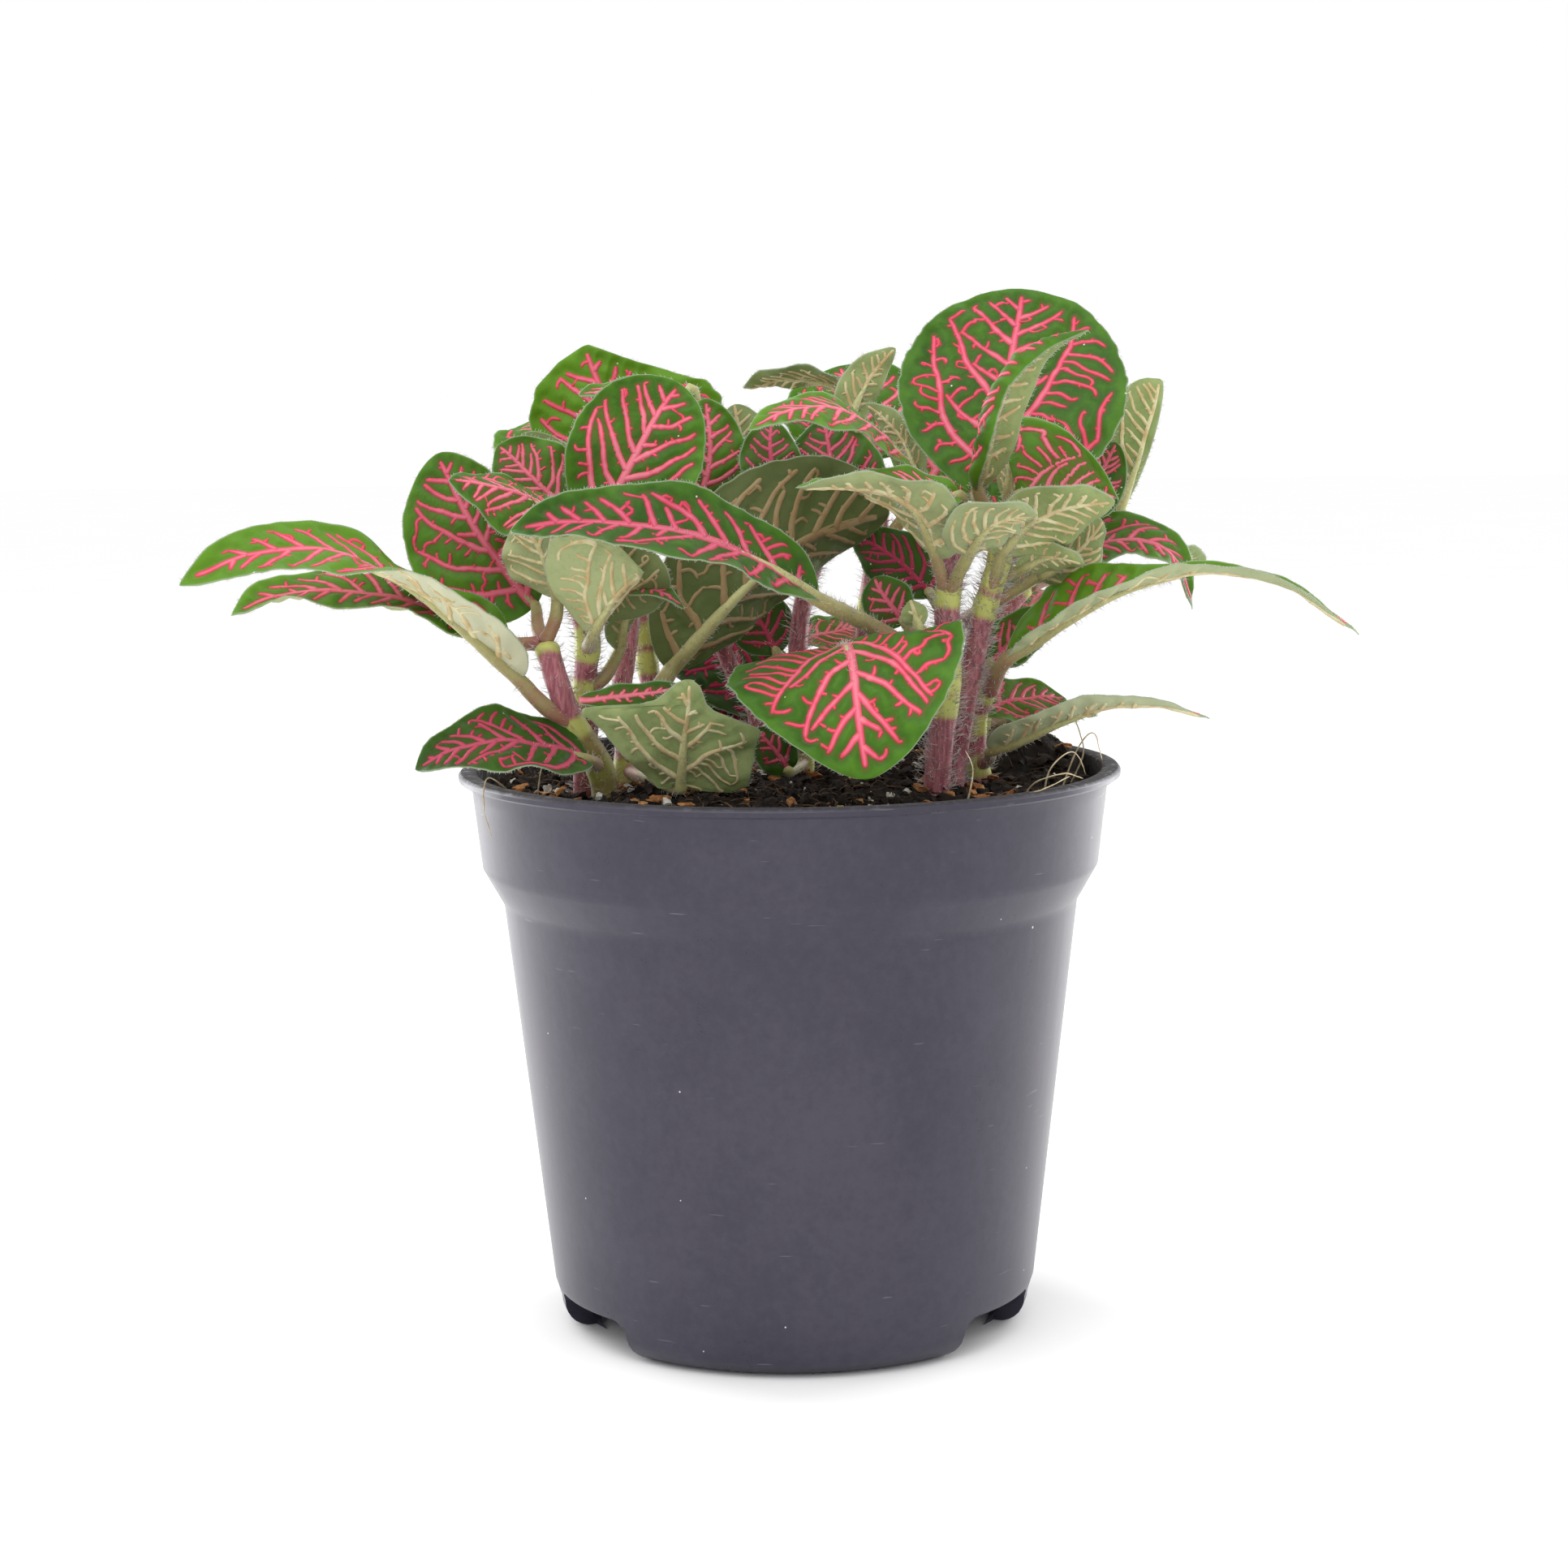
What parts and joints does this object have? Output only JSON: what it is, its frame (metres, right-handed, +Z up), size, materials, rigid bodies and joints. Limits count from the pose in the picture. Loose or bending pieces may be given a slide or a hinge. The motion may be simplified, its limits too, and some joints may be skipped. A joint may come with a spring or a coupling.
{
  "type": "potted nerve plant",
  "caption": "Potted nerve plant: tapered nursery pot with a collared rim and notched foot, filled with peat, and leafy shoots of green leaves with a pink net of veins.",
  "frame": {"origin": "centre of the circle of the pot's foot, on the surface that the pot stands on", "axes": "+Z up along the pot's axis, -Y to the front of the picture, +X to the right of the picture"},
  "size_m": [0.1515, 0.0918, 0.1415],
  "materials": {
    "pot_plastic": "charcoal violet, satin",
    "soil": "moist dark peat, rough",
    "foliage": "green leaf with pink veins, satin"
  },
  "bodies": {
    "root": {"pot": "pot_plastic", "soil": "soil", "shoot_left_front": "foliage", "shoot_left": "foliage", "shoot_centre_left": "foliage", "shoot_centre": "foliage", "shoot_centre_back": "foliage", "shoot_right_front": "foliage", "shoot_right_tall": "foliage", "shoot_right_low": "foliage", "shoot_right_back": "foliage", "shoot_back_left": "foliage", "shoot_back": "foliage", "shoot_back_right": "foliage"}
  },
  "joints": []
}
